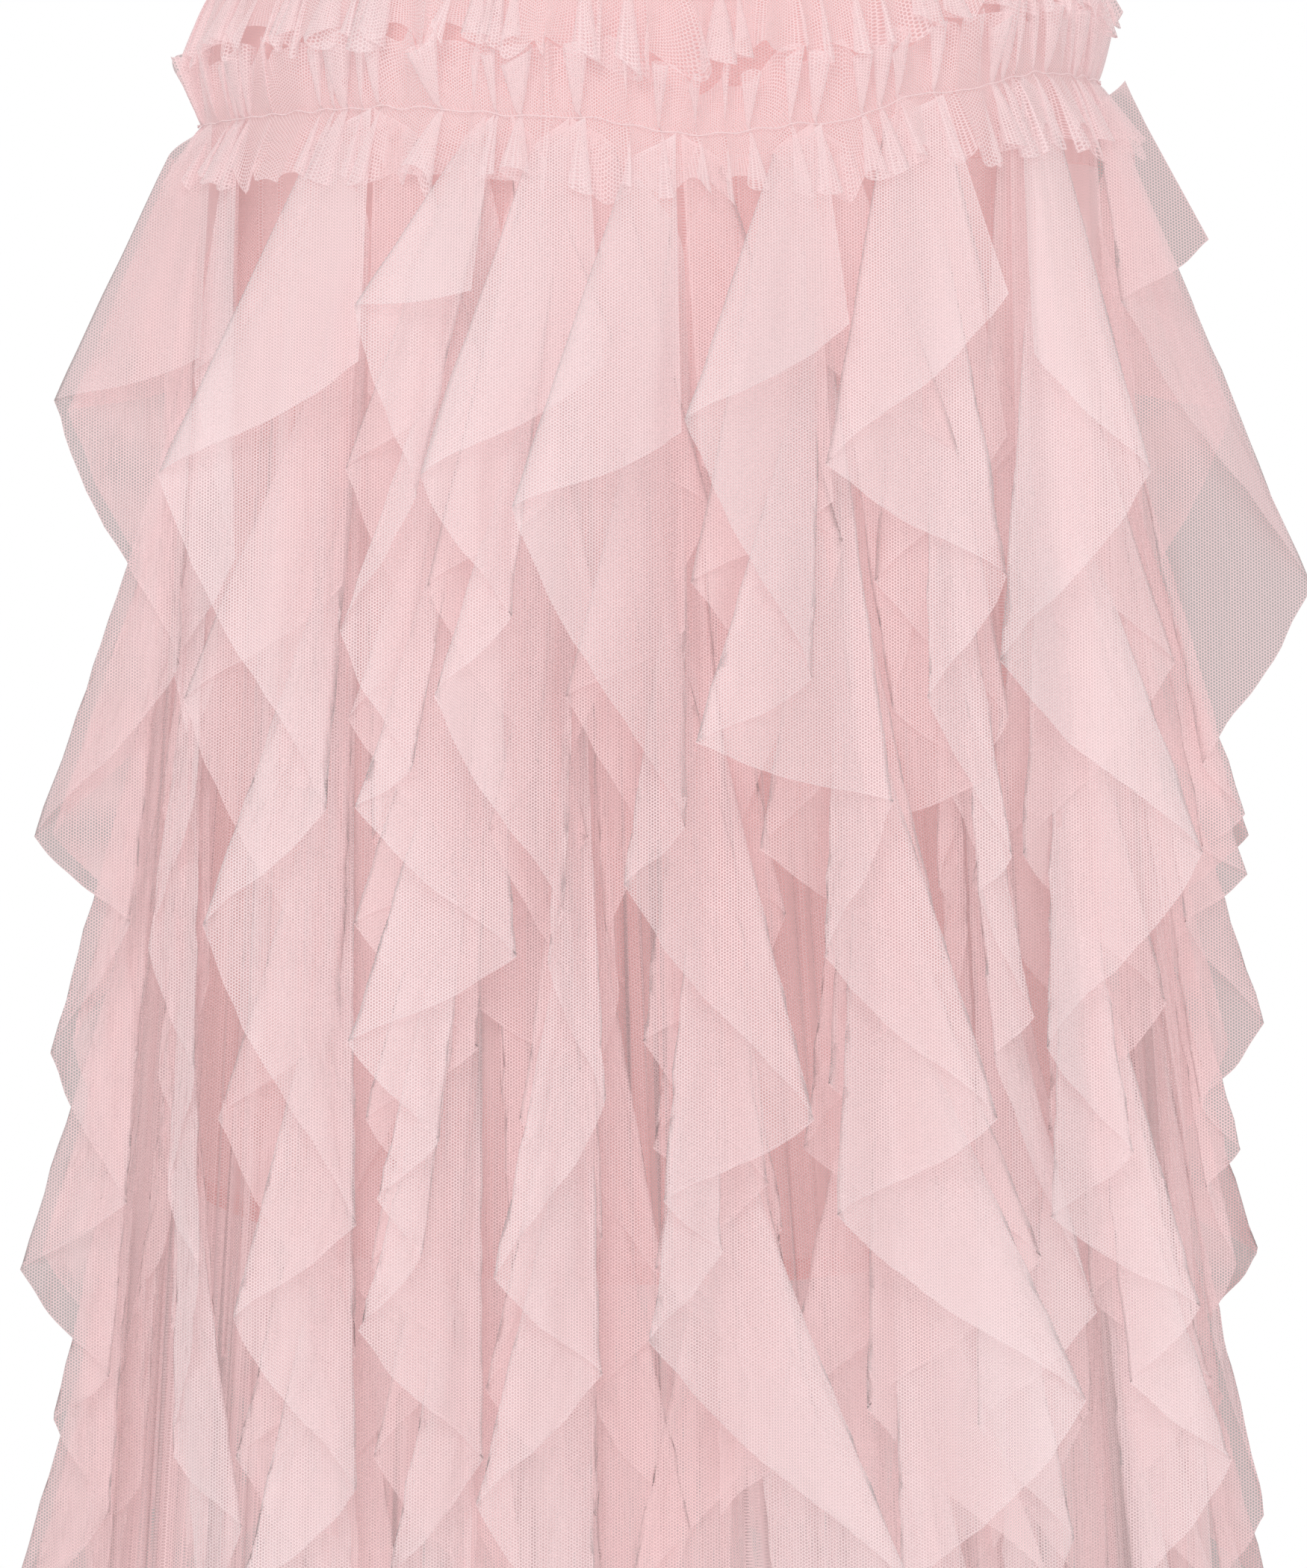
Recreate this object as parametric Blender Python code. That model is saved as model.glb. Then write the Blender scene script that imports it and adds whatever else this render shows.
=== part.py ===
# Ruffle skirt in pink net, held open as it is worn: a waistband, a fitted yoke,
# an opaque lining, a flared net skirt, two rows of gathered heading and
# nineteen cascading ruffles whose free edges fall in folds from side to side.
# The origin is the middle of the waist opening, at the band's top edge.
# +Z is up and the front faces -Y. Every length is in metres.
import bpy
import numpy as np

# Body of the skirt
BAND_HEIGHT = 0.030
BAND_WALL = 0.003
CLOTH_WALL = 0.0010
LINING_WALL = 0.0012
SEAM_GAP = 0.0003
HIP_DROP = 0.160
HEM_DROP = 0.845
WAIST_HALF_WIDTH = 0.151
WAIST_HALF_DEPTH = 0.104
HIP_HALF_WIDTH = 0.180
HIP_HALF_DEPTH = 0.122
WIDTH_FLARE = 0.066
DEPTH_FLARE = 0.078
YOKE_DROP = 0.176
YOKE_RINGS = (0.065, 0.105, 0.140, 0.160)
RING_POINTS = 40

# Folds of the net skirt. Each ruffle is sewn along the crest of a fold, and a few more
# folds lie between them, at these angles from the front, in degrees
FREE_FOLDS = (-98, -82, -47, 82, 98, 129)
FREE_FOLD_SHARE = 0.8
VALLEY_SHARES = (0.33, 0.67)
SKIRT_RINGS = (
    # drop, how much of its full height a fold has here
    (0.1763, 0.0),
    (0.1980, 0.03),
    (0.2220, 1.0),
    (0.2600, 1.0),
    (0.4000, 1.0),
    (0.5500, 1.0),
    (0.7000, 1.0),
    (0.8450, 1.0),
)

# Lining, which hangs straighter than the net and is cut shorter at the sides
LINING_INSET = 0.0022
LINING_FLARE = 0.018
LINING_FRONT_DROP = 0.622
LINING_SIDE_RISE = 0.034
LINING_ROUNDING = 2.6
LINING_RINGS = (0.0, 0.08, 0.16, 0.24, 0.62, 1.0)

# Gathered heading: a strip stitched along its middle, so both edges stand out
HEADING_WAVES = 30
POINTS_PER_WAVE = 4
WAVE_UNEVENNESS = 0.7
WAVE_LEAN = 0.5
HEADING_REACH = 0.0262
HEADING_WALL = 0.0010
STITCH_DEPTH = 0.0009
STITCH_RIPPLE = 0.0002
HEADINGS = (
    # name, rise above the stitch line, turn of its waves, edge depth, edge ripple
    ("heading_lower", 0.0, 0.0, 0.0044, 0.0030),
    ("heading_upper", 0.0540, 1.3, 0.0078, 0.0056),
)
# Drop of the lower stitch line at each angle from the front, in degrees
STITCH_LINE = (
    # angle, drop
    (-180, 0.151),
    (-120, 0.155),
    (-80, 0.160),
    (-35, 0.157),
    (-10, 0.162),
    (6, 0.169),
    (22, 0.164),
    (38, 0.151),
    (60, 0.141),
    (90, 0.142),
    (135, 0.147),
    (180, 0.151),
)

# Ruffles
RUFFLE_FALL = 0.180
FIRST_ROOT_STEP = 0.012
REACH_MARGIN = 1.03
TANGENT_SHARE = 0.88
STEPS_PER_FOLD = 3
# Levels from the seam to the free edge, and the wall at each: it thins into the seam,
# where the folds are as small as the wall
FOLD_LEVELS = (0.0, 0.22, 0.62, 1.0)
FOLD_WALLS = (0.0003, 0.0010, 0.0010, 0.0010)
# How far a ruffle's seam stands off the skirt's smooth form
SEAM_TOP = 0.150
SEAM_STAND_OFF = (
    # drop, stand off
    (0.140, 0.0088),
    (0.260, 0.0130),
    (0.900, 0.0130),
)

# Each ruffle has the seam that it hangs from, as shares of the skirt's half width at
# its top and bottom. A turn of its free edge that is level with the seam stands out by
# the fin, and the slant is how much further out it is for each metre across. There is
# one row for each turn, from top to bottom: how far across, and how far below the waist.
FRONT_RUFFLES = {
    "ruffle_side_left": {
        "seam": (-0.985, -0.985),
        "fin": 0.020,
        "slant": 0.80,
        "turns": (
            # across, drop
            (-0.178, 0.256),
            (-0.238, 0.272),
            (-0.186, 0.378),
            (-0.245, 0.446),
            (-0.206, 0.480),
            (-0.238, 0.532),
            (-0.208, 0.591),
            (-0.250, 0.618),
            (-0.214, 0.660),
            (-0.236, 0.677),
            (-0.214, 0.714),
            (-0.256, 0.759),
            (-0.220, 0.812),
        ),
    },
    "ruffle_left_outer": {
        "seam": (-0.930, -0.900),
        "fin": 0.014,
        "slant": 0.45,
        "turns": (
            (-0.165, 0.246),
            (-0.181, 0.262),
            (-0.164, 0.336),
            (-0.189, 0.378),
            (-0.179, 0.424),
            (-0.199, 0.490),
            (-0.180, 0.540),
            (-0.191, 0.588),
            (-0.177, 0.618),
            (-0.188, 0.690),
            (-0.160, 0.716),
            (-0.176, 0.765),
        ),
    },
    "ruffle_left": {
        "seam": (-0.610, -0.560),
        "fin": 0.026,
        "slant": 0.70,
        "turns": (
            (-0.114, 0.259),
            (-0.193, 0.303),
            (-0.127, 0.435),
            (-0.175, 0.480),
            (-0.115, 0.597),
            (-0.163, 0.633),
            (-0.114, 0.700),
            (-0.160, 0.744),
            (-0.112, 0.806),
        ),
    },
    "ruffle_left_inner": {
        "seam": (-0.320, -0.330),
        "fin": 0.026,
        "slant": 0.75,
        "turns": (
            (-0.070, 0.232),
            (-0.116, 0.238),
            (-0.091, 0.312),
            (-0.121, 0.365),
            (-0.093, 0.420),
            (-0.114, 0.434),
            (-0.052, 0.492),
            (-0.117, 0.525),
            (-0.082, 0.564),
            (-0.106, 0.586),
            (-0.088, 0.608),
            (-0.113, 0.637),
            (-0.065, 0.687),
            (-0.102, 0.736),
            (-0.070, 0.790),
        ),
    },
    "ruffle_centre_left": {
        "seam": (-0.160, -0.080),
        "fin": 0.027,
        "slant": 0.88,
        "turns": (
            (-0.018, 0.262),
            (-0.090, 0.305),
            (-0.054, 0.360),
            (-0.084, 0.391),
            (-0.033, 0.475),
            (-0.040, 0.495),
            (-0.017, 0.549),
            (-0.060, 0.616),
            (-0.019, 0.654),
            (-0.067, 0.703),
            (-0.021, 0.765),
            (-0.054, 0.808),
        ),
    },
    "ruffle_centre": {
        "seam": (0.060, 0.200),
        "fin": 0.030,
        "slant": 0.98,
        "turns": (
            (0.013, 0.288),
            (-0.054, 0.318),
            (0.014, 0.442),
            (-0.010, 0.464),
            (0.064, 0.555),
            (0.005, 0.586),
            (0.028, 0.606),
            (0.000, 0.640),
            (0.102, 0.736),
            (0.054, 0.778),
        ),
    },
    "ruffle_centre_right": {
        "seam": (0.360, 0.520),
        "fin": 0.028,
        "slant": 0.95,
        "turns": (
            (0.078, 0.245),
            (0.014, 0.284),
            (0.064, 0.384),
            (0.018, 0.409),
            (0.095, 0.432),
            (0.068, 0.492),
            (0.136, 0.555),
            (0.072, 0.592),
            (0.170, 0.664),
            (0.098, 0.744),
            (0.140, 0.804),
        ),
    },
    "ruffle_right_inner": {
        "seam": (0.590, 0.680),
        "fin": 0.025,
        "slant": 0.50,
        "turns": (
            (0.141, 0.232),
            (0.069, 0.300),
            (0.141, 0.343),
            (0.109, 0.391),
            (0.142, 0.453),
            (0.129, 0.468),
            (0.150, 0.516),
            (0.135, 0.531),
            (0.175, 0.632),
            (0.128, 0.675),
            (0.166, 0.720),
            (0.140, 0.774),
        ),
    },
    "ruffle_right": {
        "seam": (0.830, 0.850),
        "fin": 0.028,
        "slant": 1.05,
        "turns": (
            (0.152, 0.255),
            (0.197, 0.302),
            (0.137, 0.377),
            (0.218, 0.452),
            (0.155, 0.528),
            (0.190, 0.570),
            (0.157, 0.594),
            (0.216, 0.630),
            (0.189, 0.660),
            (0.228, 0.690),
            (0.190, 0.744),
            (0.222, 0.804),
        ),
    },
    "ruffle_side_right": {
        "seam": (0.985, 0.985),
        "fin": 0.018,
        "slant": 0.85,
        "turns": (
            (0.223, 0.208),
            (0.188, 0.233),
            (0.263, 0.346),
            (0.220, 0.417),
            (0.236, 0.437),
            (0.220, 0.450),
            (0.237, 0.461),
            (0.212, 0.480),
            (0.244, 0.520),
            (0.218, 0.552),
            (0.234, 0.570),
            (0.220, 0.585),
            (0.233, 0.615),
            (0.222, 0.636),
            (0.244, 0.715),
            (0.226, 0.740),
            (0.250, 0.800),
        ),
    },
}
# The back is cut like the front's middle and its left side, turned or mirrored
FRONT = (1.0, 1.0)
TURNED = (-1.0, -1.0)
MIRRORED = (1.0, -1.0)
BACK_RUFFLES = (
    # name, cut like, facing
    ("back_ruffle_side_right", "ruffle_side_left", TURNED),
    ("back_ruffle_right", "ruffle_left", TURNED),
    ("back_ruffle_right_inner", "ruffle_left_inner", TURNED),
    ("back_ruffle_centre_right", "ruffle_centre_left", TURNED),
    ("back_ruffle_centre", "ruffle_centre", TURNED),
    ("back_ruffle_centre_left", "ruffle_centre_right", TURNED),
    ("back_ruffle_left_inner", "ruffle_right_inner", TURNED),
    ("back_ruffle_left", "ruffle_right", TURNED),
    ("back_ruffle_side_left", "ruffle_side_left", MIRRORED),
)

# Colours, roughness
NET_PINK = ((0.93, 0.70, 0.70), 0.75)
LINING_PINK = ((0.90, 0.55, 0.54), 0.60)
BAND_PINK = ((0.91, 0.60, 0.60), 0.65)


def clear_scene():
    for existing in list(bpy.data.objects):
        bpy.data.objects.remove(existing)


def cloth_material(name, finish):
    colour, roughness = finish
    material = bpy.data.materials.new(name)
    material.use_nodes = True
    shader = material.node_tree.nodes["Principled BSDF"]
    shader.inputs["Base Color"].default_value = (*colour, 1.0)
    shader.inputs["Roughness"].default_value = roughness
    shader.inputs["Metallic"].default_value = 0.0
    return material


def below_hip(drop):
    return np.maximum(drop - HIP_DROP, 0.0)


def rounding_to_hip(drop):
    return np.sin(np.clip(drop / HIP_DROP, 0.0, 1.0) * np.pi / 2)


def half_width(drop):
    hip = WAIST_HALF_WIDTH + (HIP_HALF_WIDTH - WAIST_HALF_WIDTH) * rounding_to_hip(drop)
    return hip + WIDTH_FLARE * below_hip(drop)


def half_depth(drop):
    hip = WAIST_HALF_DEPTH + (HIP_HALF_DEPTH - WAIST_HALF_DEPTH) * rounding_to_hip(drop)
    return hip + DEPTH_FLARE * below_hip(drop)


def seam_across(ruffle, drop):
    """How far across a ruffle's seam is at this drop."""
    top_share, bottom_share = ruffle["seam"]
    share = top_share + (bottom_share - top_share) * (drop - SEAM_TOP) / (HEM_DROP - SEAM_TOP)
    return share * half_width(drop)


def seam_stand_off(drop):
    drops, stand_offs = np.array(SEAM_STAND_OFF).T
    return np.interp(drop, drops, stand_offs)


def front_of_skirt(across, drop, out):
    """Depth of a surface that stands out from the smooth form. Past the side it follows a tangent line."""
    share = np.abs(across) / (half_width(drop) + out)
    round_part = np.sqrt(1 - np.minimum(share, TANGENT_SHARE) ** 2)
    edge = np.sqrt(1 - TANGENT_SHARE**2)
    slope = TANGENT_SHARE / edge
    bulge = np.where(share < TANGENT_SHARE, round_part, edge - slope * (share - TANGENT_SHARE))
    return -(half_depth(drop) + out) * bulge


def ellipse(angle, drop, off):
    """Points round the skirt, off the smooth body by off. Angle 0 is the front and a quarter turn is +X."""
    x = (half_width(drop) + off) * np.sin(angle)
    y = -(half_depth(drop) + off) * np.cos(angle)
    return np.stack(np.broadcast_arrays(x, y, -drop), axis=-1)


def ring_angles(count):
    return np.linspace(2 * np.pi, 0.0, count, endpoint=False)[:, None]


def wall(name, outer, inner, round_it, material):
    """A closed wall between two grids of points, each of shape (along, across, 3)."""
    along, across = outer.shape[:2]
    index = np.arange(along * across).reshape(along, across)
    if round_it:
        index = np.vstack([index, index[:1]])
    shift = along * across
    low_left, low_right = index[:-1, :-1], index[1:, :-1]
    high_left, high_right = index[:-1, 1:], index[1:, 1:]
    first_half = np.stack([low_left, low_right, high_right], -1).reshape(-1, 3)
    second_half = np.stack([low_left, high_right, high_left], -1).reshape(-1, 3)
    sheet = np.vstack([first_half, second_half])
    edges = [(index[:-1, 0], index[1:, 0]), (index[1:, -1], index[:-1, -1])]
    if not round_it:
        edges += [(index[0, 1:], index[0, :-1]), (index[-1, :-1], index[-1, 1:])]
    rims = [np.stack([start, start + shift, end + shift, end], -1) for start, end in edges]
    faces = sheet.tolist() + (sheet[:, ::-1] + shift).tolist() + np.vstack(rims).tolist()
    points = np.vstack([outer.reshape(-1, 3), inner.reshape(-1, 3)])
    mesh = bpy.data.meshes.new(name)
    mesh.from_pydata(points.tolist(), [], faces)
    mesh.materials.append(material)
    mesh.shade_smooth()
    solid = bpy.data.objects.new(name, mesh)
    bpy.context.scene.collection.objects.link(solid)
    return solid


def make_waistband(material):
    angle = ring_angles(RING_POINTS)
    drop = np.array([0.0, BAND_HEIGHT])
    outer = ellipse(angle, drop, BAND_WALL / 2)
    inner = ellipse(angle, drop, -BAND_WALL / 2)
    return wall("waistband", outer, inner, True, material)


def make_yoke(material):
    angle = ring_angles(RING_POINTS)
    drop = np.array([BAND_HEIGHT + SEAM_GAP, *YOKE_RINGS, YOKE_DROP])
    outer = ellipse(angle, drop, 0.0)
    inner = ellipse(angle, drop, -CLOTH_WALL)
    return wall("yoke", outer, inner, True, material)


def ruffles_all_round():
    """Each ruffle's name, table entry and facing."""
    front = [(name, ruffle, FRONT) for name, ruffle in FRONT_RUFFLES.items()]
    return front + [(name, FRONT_RUFFLES[source], facing) for name, source, facing in BACK_RUFFLES]


def fold_crests(drop, full, rise):
    """Angle and reach of every fold's crest at each ring, in order round the skirt, and how high it stands."""
    crests = []
    for _, ruffle, (x_sign, y_sign) in ruffles_all_round():
        x = seam_across(ruffle, drop)
        sine = x_sign * x / (half_width(drop) + full)
        cosine = -y_sign * front_of_skirt(x, drop, full) / (half_depth(drop) + full)
        reach = 1 + (np.hypot(sine, cosine) - 1) * rise
        crests.append((np.arctan2(sine, cosine), reach, full * rise))
    for degrees in FREE_FOLDS:
        flat = np.ones(len(drop))
        crests.append((np.radians(degrees) * flat, flat, full * rise * FREE_FOLD_SHARE))
    crests.sort(key=lambda crest: -crest[0][-1])
    return np.array(crests).transpose(1, 0, 2)


def make_net_skirt(material):
    drop, rise = np.array(SKIRT_RINGS).T
    full = seam_stand_off(drop) - SEAM_GAP - FOLD_WALLS[0] / 2
    angle, reach, height = fold_crests(drop, full, rise)
    to_next = (angle - np.roll(angle, -1, axis=0)) % (2 * np.pi)
    grids = []
    for off in (0.0, -CLOTH_WALL):
        crest = ellipse(angle, drop, height + off) * np.stack([reach, reach, np.ones_like(reach)], -1)
        first = ellipse(angle - to_next * VALLEY_SHARES[0], drop, off)
        second = ellipse(angle - to_next * VALLEY_SHARES[1], drop, off)
        grids.append(np.stack([crest, first, second], 1).reshape(-1, len(drop), 3))
    return wall("net_skirt", grids[0], grids[1], True, material)


def lining_points(angle, share, off):
    """The lining at a share of its length, from the waistband's seam to its rounded hem."""
    top = BAND_HEIGHT + SEAM_GAP
    hem = LINING_FRONT_DROP - LINING_SIDE_RISE * np.abs(np.sin(angle)) ** LINING_ROUNDING
    drop = top + (hem - top) * share
    straight = (WIDTH_FLARE - LINING_FLARE) * below_hip(drop)
    inset = LINING_INSET + straight
    x = (half_width(drop) - inset + off) * np.sin(angle)
    y = -(half_depth(drop) - inset + off) * np.cos(angle)
    return np.stack(np.broadcast_arrays(x, y, -drop), axis=-1)


def make_lining(material):
    angle = ring_angles(RING_POINTS)
    share = np.array(LINING_RINGS)
    outer = lining_points(angle, share, 0.0)
    inner = lining_points(angle, share, -LINING_WALL)
    return wall("lining", outer, inner, True, material)


def stitch_drop(angle):
    """Drop of the lower heading's stitch line at an angle, by smooth steps between the table's rows."""
    degrees, drops = np.array(STITCH_LINE).T
    turned = (np.degrees(angle) + 180.0) % 360.0 - 180.0
    row = np.clip(np.searchsorted(degrees, turned, side="right") - 1, 0, len(degrees) - 2)
    share = (turned - degrees[row]) / (degrees[row + 1] - degrees[row])
    eased = share * share * (3 - 2 * share)
    return drops[row] + (drops[row + 1] - drops[row]) * eased


def make_heading(name, rise, turn, edge_depth, edge_ripple, material):
    """A gathered strip, stitched along its middle, whose two edges ripple off the skirt."""
    angle = ring_angles(HEADING_WAVES * POINTS_PER_WAVE)
    level = np.array([-1.0, 0.0, 1.0])
    drop = stitch_drop(angle) - rise + level * HEADING_REACH
    loose = np.abs(level)
    uneven = WAVE_UNEVENNESS * np.sin(3 * angle) + WAVE_LEAN * level
    wave = np.cos(HEADING_WAVES * angle + turn + uneven)
    depth = STITCH_DEPTH + (edge_depth - STITCH_DEPTH) * loose
    ripple = (STITCH_RIPPLE + (edge_ripple - STITCH_RIPPLE) * loose) * wave
    outer = ellipse(angle, drop, depth + ripple + HEADING_WALL / 2)
    inner = ellipse(angle, drop, depth + ripple - HEADING_WALL / 2)
    return wall(name, outer, inner, True, material)


def between_turns(values, step):
    """Values along the free edge, straight from turn to turn."""
    return np.interp(step, np.arange(len(values)), values)


def swung_between_turns(values, step):
    """Values along the free edge that slow down at each turn, as cloth does where it folds back."""
    row = np.minimum(step.astype(int), len(values) - 2)
    share = 0.5 - 0.5 * np.cos(np.pi * (step - row))
    return values[row] + (values[row + 1] - values[row]) * share


def ruffle_surface(ruffle):
    """Middle surface of a ruffle: falls of cloth from points down its seam to points along its free edge.

    In each level section the cloth winds in to the seam round one centre, always nearer to it,
    so that it can't cross itself."""
    across, drop = np.array(ruffle["turns"]).T
    turn_count = len(across)
    stitch = stitch_drop(np.arcsin(ruffle["seam"][0]))
    first_roots = stitch + FIRST_ROOT_STEP * np.arange(turn_count)
    root = np.maximum(first_roots, drop - RUFFLE_FALL)
    step = np.linspace(0, turn_count - 1, (turn_count - 1) * STEPS_PER_FOLD + 1)
    edge_drop = between_turns(drop, step)[:, None]
    root_drop = between_turns(root, step)[:, None]
    reach = swung_between_turns(across - seam_across(ruffle, drop), step)[:, None]
    furthest = REACH_MARGIN * np.abs(reach).max()
    edge_out = ruffle["fin"] * np.sqrt(1 - (reach / furthest) ** 2) + ruffle["slant"] * np.abs(reach)
    level = np.array(FOLD_LEVELS)[None, :]
    z = root_drop + (edge_drop - root_drop) * level
    x = seam_across(ruffle, z) + reach * level
    out = seam_stand_off(z) + edge_out * level
    return np.stack([x, front_of_skirt(x, z, out), -z], axis=-1)


def unit(vectors):
    return vectors / np.linalg.norm(vectors, axis=-1, keepdims=True)


def surface_normals(points):
    """Normals that halve the angle between the strips before and after, so that a sharp fold stays open."""
    across = np.gradient(points, axis=1)
    strip = unit(np.cross(np.diff(points, axis=0), across[1:] + across[:-1]))
    both = np.concatenate([strip[:1], strip[1:] + strip[:-1], strip[-1:]])
    normal = unit(both)
    normal[:, 0] = unit(normal[:, 0] + normal[:, 1])
    return normal


def make_ruffle(name, ruffle, facing, material):
    middle = ruffle_surface(ruffle) * np.array([*facing, 1.0])
    half = surface_normals(middle) * np.array(FOLD_WALLS)[:, None] / 2
    return wall(name, middle + half, middle - half, False, material)


def make_skirt():
    clear_scene()
    net = cloth_material("pink_net", NET_PINK)
    make_waistband(cloth_material("band_fabric", BAND_PINK))
    make_lining(cloth_material("lining_fabric", LINING_PINK))
    make_yoke(net)
    make_net_skirt(net)
    for heading in HEADINGS:
        make_heading(*heading, net)
    for name, ruffle, facing in ruffles_all_round():
        make_ruffle(name, ruffle, facing, net)


make_skirt()
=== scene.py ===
# Ruffle skirt in pink net: the finish of every piece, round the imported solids.
# Metres, +Z up, the front faces -Y, the origin is the middle of the waist opening.
import bmesh
import bpy
import numpy as np
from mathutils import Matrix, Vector


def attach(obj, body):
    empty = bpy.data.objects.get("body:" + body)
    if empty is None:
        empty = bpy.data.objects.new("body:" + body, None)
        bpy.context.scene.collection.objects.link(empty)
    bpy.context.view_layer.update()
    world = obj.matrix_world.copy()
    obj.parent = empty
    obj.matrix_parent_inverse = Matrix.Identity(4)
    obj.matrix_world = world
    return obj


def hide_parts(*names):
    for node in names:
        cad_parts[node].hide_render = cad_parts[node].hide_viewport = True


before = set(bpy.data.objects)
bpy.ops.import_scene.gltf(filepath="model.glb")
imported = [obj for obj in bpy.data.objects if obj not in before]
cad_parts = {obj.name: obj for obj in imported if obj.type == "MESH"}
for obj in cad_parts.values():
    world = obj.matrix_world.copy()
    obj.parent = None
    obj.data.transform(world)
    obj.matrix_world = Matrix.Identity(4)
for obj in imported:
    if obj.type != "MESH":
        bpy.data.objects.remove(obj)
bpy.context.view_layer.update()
print("frame loaded:", len(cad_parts), "nodes")

# The body of the skirt, as in the solids
body = {
    "bandHeight": 0.030,
    "hipDrop": 0.160,
    "hemDrop": 0.845,
    "waistHalfWidth": 0.151,
    "waistHalfDepth": 0.104,
    "hipHalfWidth": 0.180,
    "hipHalfDepth": 0.122,
    "widthFlare": 0.066,
    "depthFlare": 0.078,
    "seamGap": 0.0003,
}
toneDrift = 0.14  # how far the cloth's tone drifts in soft patches


def bodySize(drop, waist, hip, flare):
    # waist to hip along a quarter sine, then a straight flare
    rounding = np.sin(np.clip(drop / body["hipDrop"], 0, 1) * np.pi / 2)
    return waist + (hip - waist) * rounding + flare * np.maximum(drop - body["hipDrop"], 0)


def halfWidth(drop):
    return bodySize(drop, body["waistHalfWidth"], body["hipHalfWidth"], body["widthFlare"])


def halfDepth(drop):
    return bodySize(drop, body["waistHalfDepth"], body["hipHalfDepth"], body["depthFlare"])


def aroundSkirt(angle, drop, off):
    # an ellipse at each drop, moved out by off; angle 0 is the front and a quarter turn is +X
    x = (halfWidth(drop) + off) * np.sin(angle)
    y = -(halfDepth(drop) + off) * np.cos(angle)
    return np.stack(np.broadcast_arrays(x, y, -drop), axis=-1)


def wander(t, seed, slowest, fastest, count=6):
    # a smooth uneven wave, mostly from -1 to 1: a sum of sines whose whole-number rates and
    # phases come from the seed
    rng = np.random.default_rng(seed)
    rates = rng.integers(slowest, fastest + 1, count)
    phases = rng.uniform(0, 2 * np.pi, count)
    waves = sum(np.sin(rate * t + phase) for rate, phase in zip(rates, phases))
    return waves / np.sqrt(count * 1.4)


def smoothStep(x, low, high):
    t = np.clip((x - low) / (high - low), 0, 1)
    return t * t * (3 - 2 * t)


def corners(grid):
    return np.stack([grid[:-1, :-1], grid[1:, :-1], grid[1:, 1:], grid[:-1, 1:]], 2)


def gridMesh(name, grids, closed, material):
    # each grid is (points (along, across, 3), uv, distance from the cut edge, painted shade and
    # tone), joined by quads; a closed grid also joins its last row to its first, and its uv has
    # one row more
    quads, uvs, start = [], [], 0
    for points, uv, edge, paintedShadeAndTone in grids:
        index = start + np.arange(points.shape[0] * points.shape[1]).reshape(points.shape[:2])
        start = index[-1, -1] + 1
        if closed:
            index = np.vstack([index, index[:1]])
        quads.append(corners(index).reshape(-1, 4))
        uvs.append(corners(uv).reshape(-1, 2))
    quads, uvs = np.concatenate(quads), np.concatenate(uvs)
    places = np.concatenate([grid[0].reshape(-1, 3) for grid in grids])
    edges, paintedShadesAndTones = [
        np.concatenate([np.broadcast_to(grid[i], grid[0].shape[:2]).ravel() for grid in grids])
        for i in (2, 3)
    ]
    mesh = bpy.data.meshes.new(name)
    mesh.vertices.add(len(places))
    mesh.vertices.foreach_set("co", places.reshape(-1).astype(np.float32))
    mesh.loops.add(quads.size)
    mesh.loops.foreach_set("vertex_index", quads.reshape(-1).astype(np.int32))
    mesh.polygons.add(len(quads))
    mesh.polygons.foreach_set("loop_start", np.arange(0, quads.size, 4, dtype=np.int32))
    mesh.update(calc_edges=True)
    mesh.uv_layers.new(name="cloth").data.foreach_set("uv", uvs.reshape(-1).astype(np.float32))
    cutEdge = mesh.attributes.new("cutEdge", "FLOAT", "POINT")
    cutEdge.data.foreach_set("value", edges.astype(np.float32))
    # painted shade and tone: each point's value sets how far its colour runs from the darker,
    # pinker painted shade of deep plies to the lit colour, plus soft random patches of tone drift
    paintedShadeAndToneOfPoints = mesh.attributes.new("paintedShadeAndTone", "FLOAT", "POINT")
    x, y, z = places.T
    patches = np.sin(17 * x + 9 * z + 2) * np.sin(23 * y - 13 * z)
    paintedShadesAndTones = np.clip(paintedShadesAndTones + toneDrift * patches, 0, 1)
    paintedShadeAndToneOfPoints.data.foreach_set("value", paintedShadesAndTones.astype(np.float32))
    mesh.materials.append(material)
    mesh.shade_smooth()
    mesh.validate()
    piece = bpy.data.objects.new(name, mesh)
    bpy.context.scene.collection.objects.link(piece)
    return piece


def closedLoop(points):
    return np.concatenate([points, points[:1]])


def clothArea(points, closed):
    # half the length of the cross product of two sides, summed over both triangles of each quad
    loop = closedLoop(points) if closed else points
    one = np.cross(loop[1:, :-1] - loop[:-1, :-1], loop[:-1, 1:] - loop[:-1, :-1])
    two = np.cross(loop[1:, :-1] - loop[1:, 1:], loop[:-1, 1:] - loop[1:, 1:])
    return float((np.linalg.norm(one, axis=-1) + np.linalg.norm(two, axis=-1)).sum() / 2)


def runLength(points):
    # the distance along a row of points, from 0 at the first
    return np.concatenate([[0], np.cumsum(np.linalg.norm(np.diff(points, axis=0), axis=-1))])


def fasten(piece, node):
    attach(piece, "root")
    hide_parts(node)


# Materials

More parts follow.
